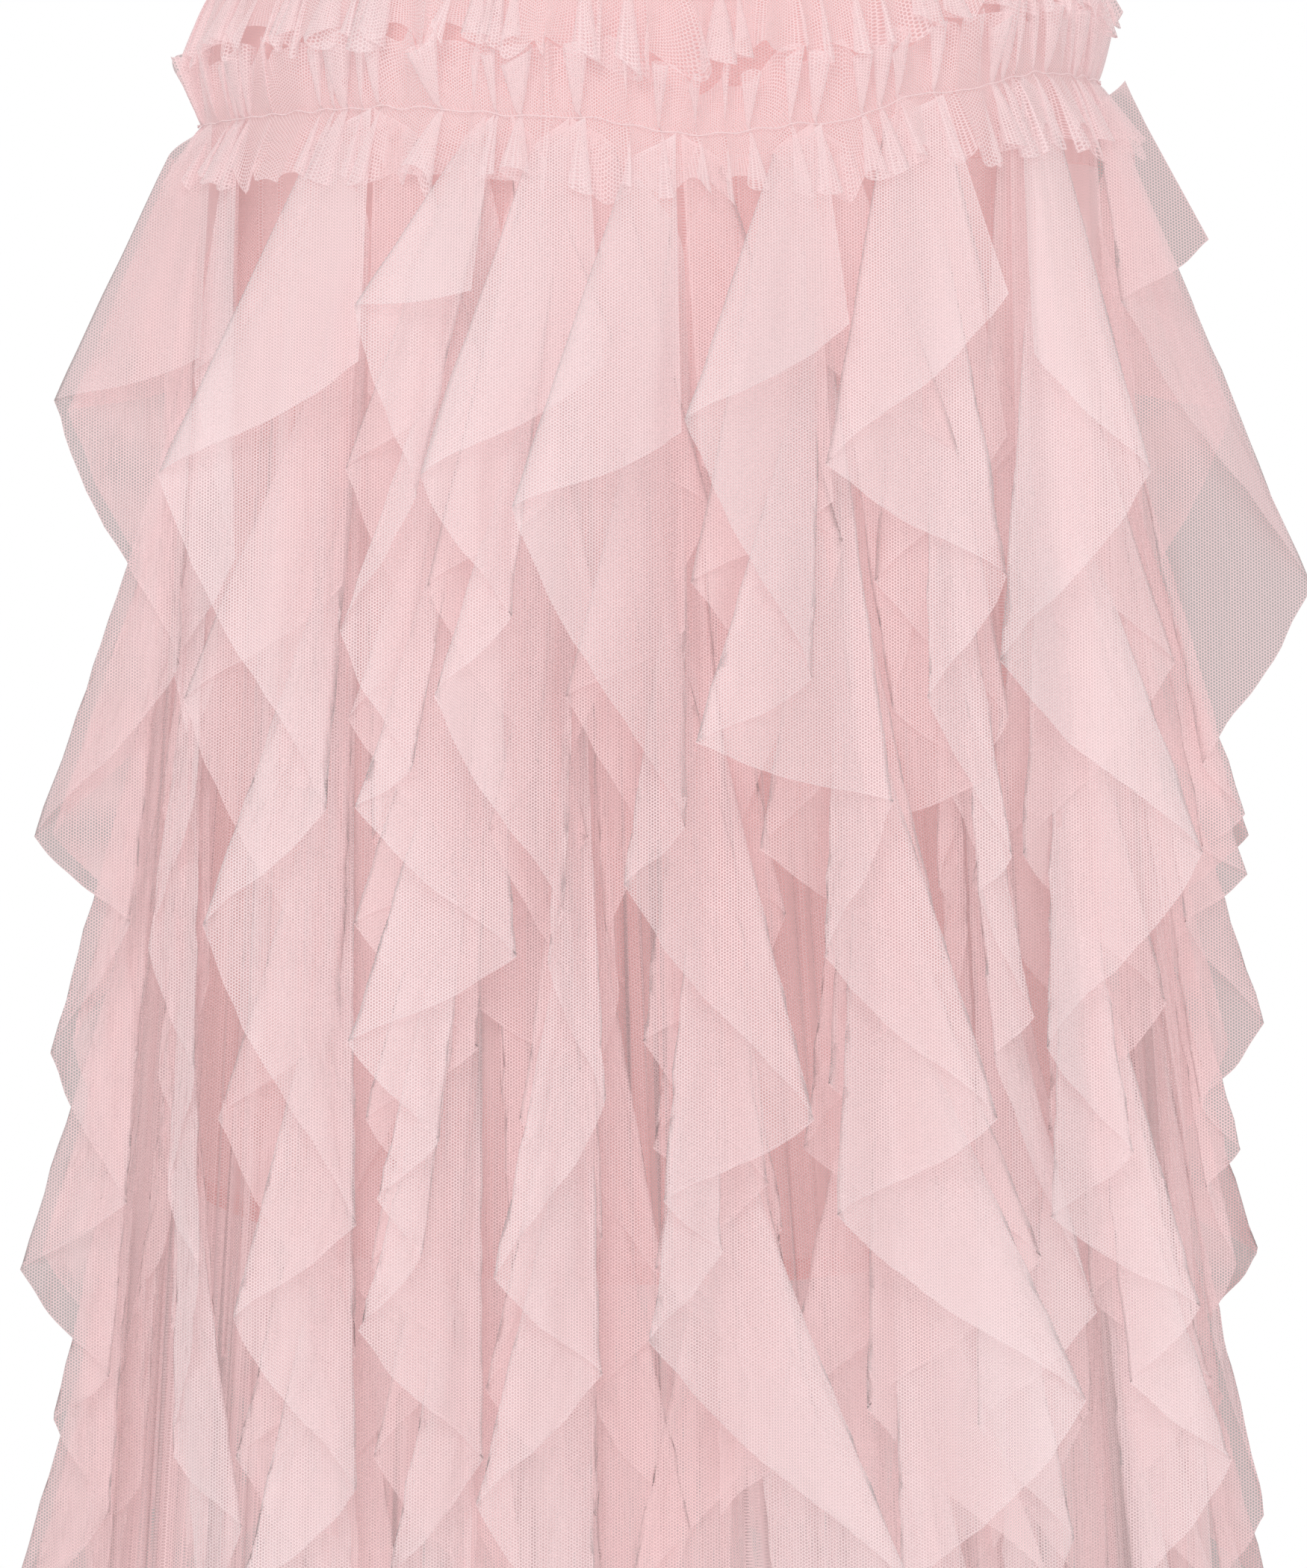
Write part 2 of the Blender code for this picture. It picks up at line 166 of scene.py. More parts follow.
net = {
    "cellPitch": 0.00125,
    "holeCover": 0.02,
    "threadCover": 0.76,
    "mostCover": 0.97,
    "combRange": (1.6, -1.2),
    "edgeWidth": 0.0008,
    "edgeCover": 0.66,
    "glancing": 0.34,
    # colour is the net's colour where fully lit; shade is a painted shade colour, darker and
    # pinker, for plies that lie deep, at the side or on the back
    "colour": (0.94, 0.765, 0.775),
    "shade": (0.905, 0.60, 0.605),
    "looks": {
        "Roughness": 0.75,
        "Specular IOR Level": 0.25,
        "Sheen Weight": 0.38,
        "Sheen Roughness": 0.45,
        "Sheen Tint": (1.0, 0.88, 0.88, 1),
    },
}


def newMaterial(name):
    material = bpy.data.materials.new(name)
    material.use_nodes = True
    tree = material.node_tree
    return material, tree, tree.nodes["Principled BSDF"]


def addNode(tree, kind, inputs=(), **settings):
    # a node with its settings; inputs are (socket, value or output to link)
    node = tree.nodes.new(kind)
    for setting, value in settings.items():
        setattr(node, setting, value)
    for socket, value in inputs:
        if isinstance(value, bpy.types.NodeSocket):
            tree.links.new(value, node.inputs[socket])
        else:
            node.inputs[socket].default_value = value
    return node


def math(tree, operation, *values):
    inputs = list(enumerate(values))
    return addNode(tree, "ShaderNodeMath", inputs, operation=operation).outputs[0]


def mapRange(tree, value, fromRange, toRange, **settings):
    inputs = list(enumerate((value, *fromRange, *toRange)))
    return addNode(tree, "ShaderNodeMapRange", inputs, **settings).outputs[0]


def mixColours(tree, share, first, second):
    inputs = [(0, share), (6, (*first, 1)), (7, (*second, 1))]
    return addNode(tree, "ShaderNodeMix", inputs, data_type="RGBA").outputs[2]


def clothUv(tree):
    return addNode(tree, "ShaderNodeUVMap", uv_map="cloth").outputs[0]


def pointValue(tree, name):
    return addNode(tree, "ShaderNodeAttribute", attribute_name=name).outputs["Fac"]


def ribsAlong(tree, coordinate, pitch):
    return math(tree, "SINE", math(tree, "MULTIPLY", coordinate, 2 * np.pi / pitch))


def addRelief(tree, shader, height, strength, distance):
    inputs = [("Height", height), ("Strength", strength), ("Distance", distance)]
    bump = addNode(tree, "ShaderNodeBump", inputs)
    tree.links.new(bump.outputs[0], shader.inputs["Normal"])


def setLooks(shader, looks):
    for socket, value in looks.items():
        shader.inputs[socket].default_value = value


def honeycomb(tree, uv, pitch):
    # three cosine waves at 120 degrees: 3 in the middle of a hole, down to -1.5 on the threads
    rate = 4 * np.pi / (np.sqrt(3) * pitch)
    total = 0.0
    for turn in (0, 1, 2):
        angle = turn * 2 * np.pi / 3
        along = (rate * np.cos(angle), rate * np.sin(angle), 0)
        inputs = [(0, uv), (1, along)]
        across = addNode(tree, "ShaderNodeVectorMath", inputs, operation="DOT_PRODUCT")
        wave = math(tree, "COSINE", across.outputs["Value"])
        total = math(tree, "ADD", wave, total)
    return total


def makeNet():
    # hexagonal net: the threads cover and the holes show what is behind, most when seen straight
    # on; a cut edge is denser
    material, tree, shader = newMaterial("pinkNet")
    comb = honeycomb(tree, clothUv(tree), net["cellPitch"])
    weave = mapRange(
        tree, comb, net["combRange"], (net["holeCover"], net["threadCover"]),
        interpolation_type="SMOOTHSTEP",
    )
    edge = pointValue(tree, "cutEdge")
    rim = mapRange(tree, edge, (0.0, net["edgeWidth"]), (net["edgeCover"], 0.0))
    facing = addNode(tree, "ShaderNodeLayerWeight", [(0, 0.5)]).outputs["Facing"]
    turned = math(tree, "MULTIPLY", math(tree, "MULTIPLY", facing, facing), net["glancing"])
    cover = math(tree, "MAXIMUM", math(tree, "ADD", weave, turned), rim)
    tree.links.new(math(tree, "MINIMUM", cover, net["mostCover"]), shader.inputs["Alpha"])
    # painted shade: the colour runs from the shade colour to the lit colour by each point's
    # painted shade and tone
    colour = mixColours(tree, pointValue(tree, "paintedShadeAndTone"), net["shade"], net["colour"])
    tree.links.new(colour, shader.inputs["Base Color"])
    setLooks(shader, net["looks"])
    return material


lining = {
    "inset": 0.0022,
    "flare": 0.018,
    "frontDrop": 0.622,
    "sideRise": 0.034,
    "rounding": 2.6,
    "hemBand": 0.008,
    "hemStep": 0.0002,
    "hemFade": 0.0005,
    "hemThickness": 0.0004,
    "halfWall": 0.0006,
    "foldDepth": 0.0022,
    "foldDrops": (0.22, 0.55),
    "columns": 420,
    "evenRows": 60,
    "evenTo": 0.98,
    "hemLevels": (0.986, 0.9868, 0.993, 1.0),
    "ease": 1.02,
    "colour": (0.92, 0.57, 0.56),
    "hemColour": (0.86, 0.47, 0.46),
    "threadPitch": 0.0006,
    "looks": {"Roughness": 0.55, "Sheen Weight": 0.2},
}


def makeLiningFabric():
    # plain satin weave: fine ribs in relief, and a darker turned-up hem
    material, tree, shader = newMaterial("liningSatin")
    split = addNode(tree, "ShaderNodeSeparateXYZ", [(0, clothUv(tree))])
    ribs = ribsAlong(tree, split.outputs["X"], lining["threadPitch"])
    picks = ribsAlong(tree, split.outputs["Y"], lining["threadPitch"])
    hemEnd = (lining["hemBand"], lining["hemBand"] + lining["hemFade"])
    inHem = mapRange(tree, pointValue(tree, "cutEdge"), hemEnd, (1.0, 0.0))
    colour = mixColours(tree, inHem, lining["colour"], lining["hemColour"])
    tree.links.new(colour, shader.inputs["Base Color"])
    addRelief(tree, shader, math(tree, "MULTIPLY", ribs, picks), 0.25, 0.0002)
    setLooks(shader, lining["looks"])
    return material


band = {
    "wall": 0.003,
    "rib": 0.0012,
    "paintedGrooveShade": 0.86,
    "columns": 240,
    "sectionSteps": 24,
    "around": 0.812,
    "cut": (0.815, 0.033),
    "colour": (0.91, 0.60, 0.60),
    "looks": {"Roughness": 0.6, "Sheen Weight": 0.3},
}


def makeBandFabric():
    # ribbed ribbon: ribs run round the waist, with painted shade in the grooves between them
    material, tree, shader = newMaterial("bandFabric")
    split = addNode(tree, "ShaderNodeSeparateXYZ", [(0, clothUv(tree))])
    ribs = ribsAlong(tree, split.outputs["Y"], band["rib"])
    onRib = mapRange(tree, ribs, (-1.0, 1.0), (0.0, 1.0))
    # painted shade: the grooves between the ribs are darker
    between = tuple(band["paintedGrooveShade"] * value for value in band["colour"])
    colour = mixColours(tree, onRib, between, band["colour"])
    tree.links.new(colour, shader.inputs["Base Color"])
    addRelief(tree, shader, ribs, 0.5, 0.0003)
    setLooks(shader, band["looks"])
    return material


thread = {
    "radius": 0.00030,
    "stitch": 0.0052,
    "dip": 0.0007,
    "waver": 0.0005,
    "standOff": 0.0026,
    "around": 0.95,
    "sides": 5,
    "columns": 1400,
    "twist": 900.0,
    "shade": (0.90, 0.62, 0.63),
    "colour": (0.98, 0.80, 0.81),
    "looks": {"Roughness": 0.5},
}


def makeThread():
    # two-ply thread: slanting bands of a lighter and a deeper pink
    material, tree, shader = newMaterial("pinkThread")
    place = addNode(tree, "ShaderNodeTexCoord").outputs["Object"]
    inputs = [("Vector", place), ("Scale", thread["twist"])]
    ply = addNode(tree, "ShaderNodeTexWave", inputs, bands_direction="DIAGONAL")
    colour = mixColours(tree, ply.outputs["Fac"], thread["shade"], thread["colour"])
    tree.links.new(colour, shader.inputs["Base Color"])
    setLooks(shader, thread["looks"])
    return material


netCloth = makeNet()
liningCloth = makeLiningFabric()
bandCloth = makeBandFabric()
threadFinish = makeThread()
print("materials made")

# Ruffles, with the seams and turns of the solids

seamTop = 0.150
standOffDrops = (0.150, 0.205, 0.260, 0.900)
standOffs = (0.0020, 0.0064, 0.0130, 0.0130)
stitchDegrees = (-180, -120, -80, -35, -10, 6, 22, 38, 60, 90, 135, 180)
stitchDrops = (0.151, 0.155, 0.160, 0.157, 0.162, 0.169, 0.164, 0.151, 0.141, 0.142, 0.147, 0.151)


def seamStandOff(drop):
    return np.interp(drop, standOffDrops, standOffs)


def seamAcross(ruffle, drop):
    # the seam runs at a share of the half width, which changes evenly down the skirt
    top, bottom = ruffle["seam"]
    share = top + (bottom - top) * (drop - seamTop) / (body["hemDrop"] - seamTop)
    return share * halfWidth(drop)


def frontOfSkirt(across, drop, out):
    # the ellipse's front, moved out by out; past a share of the half width it goes on along the
    # tangent
    tangentShare = 0.88
    share = np.abs(across) / (halfWidth(drop) + out)
    roundPart = np.sqrt(1 - np.minimum(share, tangentShare) ** 2)
    edge = np.sqrt(1 - tangentShare**2)
    tangent = edge - tangentShare / edge * (share - tangentShare)
    bulge = np.where(share < tangentShare, roundPart, tangent)
    return -(halfDepth(drop) + out) * bulge


def stitchDrop(angle):
    # smooth steps between the stitch line's rows
    degrees, drops = np.array(stitchDegrees), np.array(stitchDrops)
    turned = (np.degrees(angle) + 180) % 360 - 180
    row = np.clip(np.searchsorted(degrees, turned, side="right") - 1, 0, len(degrees) - 2)
    share = (turned - degrees[row]) / (degrees[row + 1] - degrees[row])
    return drops[row] + (drops[row + 1] - drops[row]) * share * share * (3 - 2 * share)


frontRuffles = {
    # seam: share of the half width at the top and at the hem; fin and slant: how far the free
    # edge stands off the skirt; across and drop: the turns of the free edge, from the top down
    "ruffle_side_left": {
        "seam": (-0.985, -0.985), "fin": 0.020, "slant": 0.80,
        "across": (
            -0.178, -0.238, -0.186, -0.245, -0.206, -0.238, -0.208, -0.250, -0.214,
            -0.236, -0.214, -0.256, -0.220,
        ),
        "drop": (
            0.256, 0.272, 0.378, 0.446, 0.480, 0.532, 0.591, 0.618, 0.660,
            0.677, 0.714, 0.759, 0.812,
        ),
    },
    "ruffle_left_outer": {
        "seam": (-0.930, -0.900), "fin": 0.014, "slant": 0.45,
        "across": (
            -0.165, -0.181, -0.164, -0.189, -0.179, -0.199, -0.180, -0.191, -0.177,
            -0.188, -0.160, -0.176,
        ),
        "drop": (
            0.246, 0.262, 0.336, 0.378, 0.424, 0.490, 0.540, 0.588, 0.618,
            0.690, 0.716, 0.765,
        ),
    },
    "ruffle_left": {
        "seam": (-0.610, -0.560), "fin": 0.026, "slant": 0.70,
        "across": (-0.114, -0.193, -0.127, -0.175, -0.115, -0.163, -0.114, -0.160, -0.112),
        "drop": (0.259, 0.303, 0.435, 0.480, 0.597, 0.633, 0.700, 0.744, 0.806),
    },
    "ruffle_left_inner": {
        "seam": (-0.320, -0.330), "fin": 0.026, "slant": 0.75,
        "across": (
            -0.070, -0.116, -0.091, -0.121, -0.093, -0.114, -0.052, -0.117, -0.082,
            -0.106, -0.088, -0.113, -0.065, -0.102, -0.070,
        ),
        "drop": (
            0.232, 0.238, 0.312, 0.365, 0.420, 0.434, 0.492, 0.525, 0.564,
            0.586, 0.608, 0.637, 0.687, 0.736, 0.790,
        ),
    },
    "ruffle_centre_left": {
        "seam": (-0.160, -0.080), "fin": 0.027, "slant": 0.88,
        "across": (
            -0.018, -0.090, -0.054, -0.084, -0.033, -0.040, -0.017, -0.060, -0.019,
            -0.067, -0.021, -0.054,
        ),
        "drop": (
            0.262, 0.305, 0.360, 0.391, 0.475, 0.495, 0.549, 0.616, 0.654,
            0.703, 0.765, 0.808,
        ),
    },
    "ruffle_centre": {
        "seam": (0.060, 0.200), "fin": 0.030, "slant": 0.98,
        "across": (0.013, -0.054, 0.014, -0.010, 0.064, 0.005, 0.028, 0.000, 0.102, 0.054),
        "drop": (0.288, 0.318, 0.442, 0.464, 0.555, 0.586, 0.606, 0.640, 0.736, 0.778),
    },
    "ruffle_centre_right": {
        "seam": (0.360, 0.520), "fin": 0.028, "slant": 0.95,
        "across": (0.078, 0.014, 0.064, 0.018, 0.095, 0.068, 0.136, 0.072, 0.170, 0.098, 0.140),
        "drop": (0.245, 0.284, 0.384, 0.409, 0.432, 0.492, 0.555, 0.592, 0.664, 0.744, 0.804),
    },
    "ruffle_right_inner": {
        "seam": (0.590, 0.680), "fin": 0.025, "slant": 0.50,
        "across": (
            0.141, 0.069, 0.141, 0.109, 0.142, 0.129, 0.150, 0.135, 0.175,
            0.128, 0.166, 0.140,
        ),
        "drop": (
            0.232, 0.300, 0.343, 0.391, 0.453, 0.468, 0.516, 0.531, 0.632,
            0.675, 0.720, 0.774,
        ),
    },
    "ruffle_right": {
        "seam": (0.830, 0.850), "fin": 0.028, "slant": 1.05,
        "across": (
            0.152, 0.197, 0.137, 0.218, 0.155, 0.190, 0.157, 0.216, 0.189,
            0.228, 0.190, 0.222,
        ),
        "drop": (
            0.255, 0.302, 0.377, 0.452, 0.528, 0.570, 0.594, 0.630, 0.660,
            0.690, 0.744, 0.804,
        ),
    },
    "ruffle_side_right": {
        "seam": (0.985, 0.985), "fin": 0.018, "slant": 0.85,
        "across": (
            0.223, 0.188, 0.263, 0.220, 0.236, 0.220, 0.237, 0.212, 0.244,
            0.218, 0.234, 0.220, 0.233, 0.222, 0.244, 0.226, 0.250,
        ),
        "drop": (
            0.208, 0.233, 0.346, 0.417, 0.437, 0.450, 0.461, 0.480, 0.520,
            0.552, 0.570, 0.585, 0.615, 0.636, 0.715, 0.740, 0.800,
        ),
    },
}
frontFacing = (1.0, 1.0)
turnedFacing = (-1.0, -1.0)
mirroredFacing = (1.0, -1.0)
backRuffles = (
    # name, cut like, facing
    ("back_ruffle_side_right", "ruffle_side_left", turnedFacing),
    ("back_ruffle_right", "ruffle_left", turnedFacing),
    ("back_ruffle_right_inner", "ruffle_left_inner", turnedFacing),
    ("back_ruffle_centre_right", "ruffle_centre_left", turnedFacing),
    ("back_ruffle_centre", "ruffle_centre", turnedFacing),
    ("back_ruffle_centre_left", "ruffle_centre_right", turnedFacing),
    ("back_ruffle_left_inner", "ruffle_right_inner", turnedFacing),
    ("back_ruffle_left", "ruffle_right", turnedFacing),
    ("back_ruffle_side_left", "ruffle_side_left", mirroredFacing),
)
ruffleForm = {
    "fall": 0.180,
    "firstRootStep": 0.012,
    "reachMargin": 1.03,
    "stepsPerFold": 16,
    "levels": 22,
    "evenTo": 0.985,
    "edgeLevels": (0.994, 1.0),
    "cornerRounding": 0.22,
    "edgeSag": 0.04,
    "creaseLengths": (0.023, 0.037, 0.061),
    "creaseDepth": 0.0019,
    "creaseBend": 0.10,
    "openLevels": (0.12, 0.75),
    "gatherPitch": 0.0085,
    "gatherLevel": 0.10,
    "gatherDepth": 0.0006,
    "sidePush": 0.5,
    # painted shade of each ply: lower values paint plies that lie under others or at the side
    # darker and pinker
    "paintedShadeAndTone": 0.90,
    "betweenDepth": 0.66,
    "betweenReach": 1.0,
    "betweenPaintedShade": 0.50,
    "underDepth": 0.36,
    "underReach": 0.80,
    "underLag": 0.012,
    "underPaintedShade": 0.42,
    "topSpread": 0.34,
    "topLength": 0.05,
    "sidePaintedShade": 0.55,
    "backPaintedShade": 0.75,
    "seedStep": 100,
}


def fallLengths(points):
    return np.linalg.norm(points[:, -1] - points[:, 0], axis=-1)


def rufflePoints(ruffle, across, drop, depth, seed):
    # falls of cloth from points down the seam to points along the free edge, as in the solids,
    # with creases that spread from the seam, a slack edge between turns and corners left sharp;
    # the topmost falls are gathered over some width into the heading's seam
    f = ruffleForm
    turns = len(across)
    stitch = stitchDrop(np.arcsin(ruffle["seam"][0]))
    root = np.maximum(stitch + f["firstRootStep"] * np.arange(turns), drop - f["fall"])
    step = np.linspace(0, turns - 1, (turns - 1) * f["stepsPerFold"] + 1)
    row = np.minimum(step.astype(int), turns - 2)
    t = step - row
    swing = t - f["cornerRounding"] * np.sin(2 * np.pi * t) / (2 * np.pi)
    reachAtTurn = across - seamAcross(ruffle, drop)
    reach = reachAtTurn[row] + (reachAtTurn[row + 1] - reachAtTurn[row]) * swing
    chord = np.hypot(np.diff(reachAtTurn), np.diff(drop))
    sag = f["edgeSag"] * chord[row] * np.sin(np.pi * t) ** 2
    edgeDrop = np.interp(step, np.arange(turns), drop) + sag
    rootDrop = np.interp(step, np.arange(turns), root)
    furthest = f["reachMargin"] * np.abs(reach).max()
    rounded = ruffle["fin"] * np.sqrt(1 - (reach / furthest) ** 2)
    out = depth * (rounded + ruffle["slant"] * np.abs(reach))
    arc = runLength(np.stack([reach, out, edgeDrop], -1))[:, None]
    rng = np.random.default_rng(seed)
    evenLevels = np.linspace(0, f["evenTo"], f["levels"] - len(f["edgeLevels"]))
    level = np.concatenate([evenLevels, f["edgeLevels"]])[None, :]
    crease = 0.0
    for length in f["creaseLengths"]:
        bend = 1 + f["creaseBend"] * np.sin(9 * level + rng.uniform(0, 6))
        wave = np.sin(2 * np.pi * arc * bend / length + rng.uniform(0, 6))
        crease = crease + wave / len(f["creaseLengths"])
    opened = smoothStep(level, *f["openLevels"])
    gathers = np.sin(2 * np.pi * arc / f["gatherPitch"] + rng.uniform(0, 6))
    gathers = gathers * smoothStep(level, 0, f["gatherLevel"]) * (1 - opened)
    push = f["creaseDepth"] * crease * opened + f["gatherDepth"] * gathers
    z = rootDrop[:, None] + (edgeDrop - rootDrop)[:, None] * level
    underHeading = f["topSpread"] * (1 - smoothStep(rootDrop - stitch, 0, f["topLength"]))
    spread = level + underHeading[:, None] * (1 - level)
    x = seamAcross(ruffle, z) + reach[:, None] * spread + f["sidePush"] * push
    y = frontOfSkirt(x, z, seamStandOff(z) + out[:, None] * level + push)
    points = np.stack([x, y, -z], -1)
    toEnds = np.minimum(arc, arc[-1] - arc) * level
    edgeDistance = np.minimum((1 - level) * fallLengths(points)[:, None], toEnds)
    return points, edgeDistance, float(arc[-1, 0])


def pliesOf(ruffle, name):
    # turns across and down, depth and painted shade of each ply: the solid's own, lightest, one
    # whose corners fall halfway between each side's own corners, and a low one that swings to the
    # seam's other side, both painted darker;
    # a ruffle seen edge on at the side has its own alone, so that it is as sheer as in the photo,
    # and painted darker
    f = ruffleForm
    across, drop = np.array(ruffle["across"]), np.array(ruffle["drop"])
    reach = across - seamAcross(ruffle, drop)
    if "side" in name:
        return [(across, drop, 1.0, f["sidePaintedShade"])]
    between = (drop[2:] + drop[:-2]) / 2
    betweenReach = f["betweenReach"] * (reach[2:] + reach[:-2]) / 2
    betweenAcross = seamAcross(ruffle, between) + betweenReach
    under = drop + f["underLag"]
    underAcross = seamAcross(ruffle, under) - f["underReach"] * reach
    return [
        (across, drop, 1.0, f["paintedShadeAndTone"]),
        (betweenAcross, between, f["betweenDepth"], f["betweenPaintedShade"]),
        (underAcross, under, f["underDepth"], f["underPaintedShade"]),
    ]


def makeRuffle(name, ruffle, facing, seed):
    # all plies of one ruffle in one mesh; facing turns or mirrors them to the back, where their
    # colour is painted darker as shade
    grids, area, edgeLength, longestFall = [], 0.0, 0.0, 0.0
    for across, drop, depth, paintedShadeAndTone in pliesOf(ruffle, name):
        points, edgeDistance, length = rufflePoints(ruffle, across, drop, depth, seed)
        points = points * np.array([*facing, 1.0])
        # painted shade: plies on the back get a darker colour
        if facing != frontFacing:
            paintedShadeAndTone = paintedShadeAndTone * ruffleForm["backPaintedShade"]
        grids.append((points, points[..., [0, 2]], edgeDistance, paintedShadeAndTone))
        area += clothArea(points, False)
        edgeLength += length
        longestFall = max(longestFall, float(fallLengths(points).max()))
        seed += ruffleForm["seedStep"]
    piece = gridMesh(name + "_net", grids, False, netCloth)
    fasten(piece, name)


for seed, (name, ruffle) in enumerate(frontRuffles.items(), start=40):
    makeRuffle(name, ruffle, frontFacing, seed)
for seed, (name, source, facing) in enumerate(backRuffles, start=80):
    makeRuffle(name, frontRuffles[source], facing, seed)
print("ruffles made")

# Net under-skirt

netSkirt = {
    "topDrop": 0.1763,
    "rows": 96,
    "columnsPerFold": 30,
    "ringDrops": (0.1763, 0.1980, 0.2220, 0.2600),
    "ringRises": (0.0, 0.03, 1.0, 1.0),
    "freeFolds": (-98, -82, -47, 82, 98, 129),
    "freeFoldShare": 0.8,
    "lift": 0.00015,
    "valley": 0.33,
    "gathersPerFold": 2,
    "gatherWander": 0.55,
    "gatherDrift": 0.30,
    "gatherDrops": (0.19, 0.34),
    "gatherDepth": 0.0026,
    "gatherLean": 0.0030,
    "betweenFull": 1.15,
    "evenStrength": 0.7,
    "unevenStrength": 0.4,
    "ease": 1.02,
    # painted shade: the net skirt lies under the ruffles, so its colour is painted darker and
    # pinker
    "paintedShadeAndTone": 0.55,
}


def makeNetSkirt():
    # folds whose crests run under the ruffles' seams, with finer uneven gathers between them
    s = netSkirt
    drop = np.linspace(s["topDrop"], body["hemDrop"], s["rows"])
    rise = np.interp(drop, s["ringDrops"], s["ringRises"])
    full = seamStandOff(drop) - body["seamGap"] - s["lift"]
    crests = []
    sources = [(ruffle, frontFacing) for ruffle in frontRuffles.values()]
    sources += [(frontRuffles[source], facing) for name, source, facing in backRuffles]
    for ruffle, (xSign, ySign) in sources:
        x = seamAcross(ruffle, drop)
        sine = xSign * x / (halfWidth(drop) + full)
        cosine = -ySign * frontOfSkirt(x, drop, full) / (halfDepth(drop) + full)
        reach = 1 + (np.hypot(sine, cosine) - 1) * rise
        crests.append((np.arctan2(sine, cosine), reach, full * rise))
    for degrees in s["freeFolds"]:
        flat = np.ones(len(drop))
        crests.append((np.radians(degrees) * flat, flat, full * rise * s["freeFoldShare"]))
    crests.sort(key=lambda crest: crest[0][-1])
    angle, reach, height = np.array(crests).transpose(1, 0, 2)
    toNext = (np.roll(angle, -1, axis=0) - angle) % (2 * np.pi)
    t = np.linspace(0, 1, s["columnsPerFold"], endpoint=False)[None, :, None]
    before = np.cos(np.pi / 2 * np.minimum(t / s["valley"], 1)) ** 2
    after = np.cos(np.pi / 2 * np.minimum((1 - t) / s["valley"], 1)) ** 2
    nextHeight, nextReach = np.roll(height, -1, axis=0), np.roll(reach, -1, axis=0)
    columnAngle = angle[:, None] + toNext[:, None] * t
    off = height[:, None] * before + nextHeight[:, None] * after
    stretch = 1 + (reach[:, None] - 1) * before + (nextReach[:, None] - 1) * after
    columnAngle = columnAngle.reshape(-1, len(drop))
    off, stretch = off.reshape(-1, len(drop)), stretch.reshape(-1, len(drop))
    between = np.tile((s["betweenFull"] - before - after)[0], (len(angle), 1))
    fold = np.arange(len(columnAngle))[:, None] / s["columnsPerFold"]
    turn = 2 * np.pi * fold / len(angle)
    waves = s["gathersPerFold"] * fold + s["gatherWander"] * wander(turn, 5, 8, 40)
    waves = waves + s["gatherDrift"] * np.sin(5 * drop[None, :] + 9 * wander(turn, 6, 10, 60))
    free = smoothStep(drop, *s["gatherDrops"])[None, :]
    strength = s["evenStrength"] + s["unevenStrength"] * wander(turn, 7, 15, 90)
    off = off + s["gatherDepth"] * free * strength * between * np.sin(2 * np.pi * waves)
    lean = s["gatherLean"] * free * strength * np.cos(2 * np.pi * waves) / halfWidth(drop)
    points = aroundSkirt(columnAngle + lean, drop[None, :], off)
    points[..., :2] *= stretch[..., None]
    loop = closedLoop(points)
    u = runLength(loop[:, s["rows"] // 2])[:, None]
    uv = np.stack(np.broadcast_arrays(u, drop[None, :]), -1)
    fromHem = (body["hemDrop"] - drop)[None, :]
    piece = gridMesh("net_skirt_net", [(points, uv, fromHem, s["paintedShadeAndTone"])], True, netCloth)
    fasten(piece, "net_skirt")


makeNetSkirt()
print("net skirt made")

# Yoke, lining and waistband


def ringAngles(count):
    return np.linspace(0, 2 * np.pi, count, endpoint=False)[:, None]


def lengthAround(points):
    # once round a tube, along its lowest row
    return float(runLength(closedLoop(points)[:, -1])[-1])


def tubeUv(count, around, drop):
    u = np.linspace(0, around, count + 1)[:, None]
    return np.stack(np.broadcast_arrays(u, drop), -1)


yoke = {
    "topDrop": 0.0303,
    "bottomDrop": 0.176,
    "columns": 360,
    "rows": 24,
    "gathers": 90,
    "gatherDepth": 0.0005,
    "halfWall": 0.0005,
    "ease": 1.02,
    # painted shade: a low value paints the yoke darker and pinker
    "paintedShadeAndTone": 0.3,
}


def makeYoke():
    # the body's own form, with faint gathers that run down it
    angle = ringAngles(yoke["columns"])
    drop = np.linspace(yoke["topDrop"], yoke["bottomDrop"], yoke["rows"])[None, :]
    phase = yoke["gathers"] * angle + 3 * wander(angle, 21, 2, 9)
    gathers = np.sin(phase) * wander(angle, 22, 3, 12)
    points = aroundSkirt(angle, drop, yoke["gatherDepth"] * gathers - yoke["halfWall"])
    around = lengthAround(points)
    uv = tubeUv(yoke["columns"], around, drop)
    piece = gridMesh("yoke_net", [(points, uv, 1.0, yoke["paintedShadeAndTone"])], True, netCloth)
    fasten(piece, "yoke")


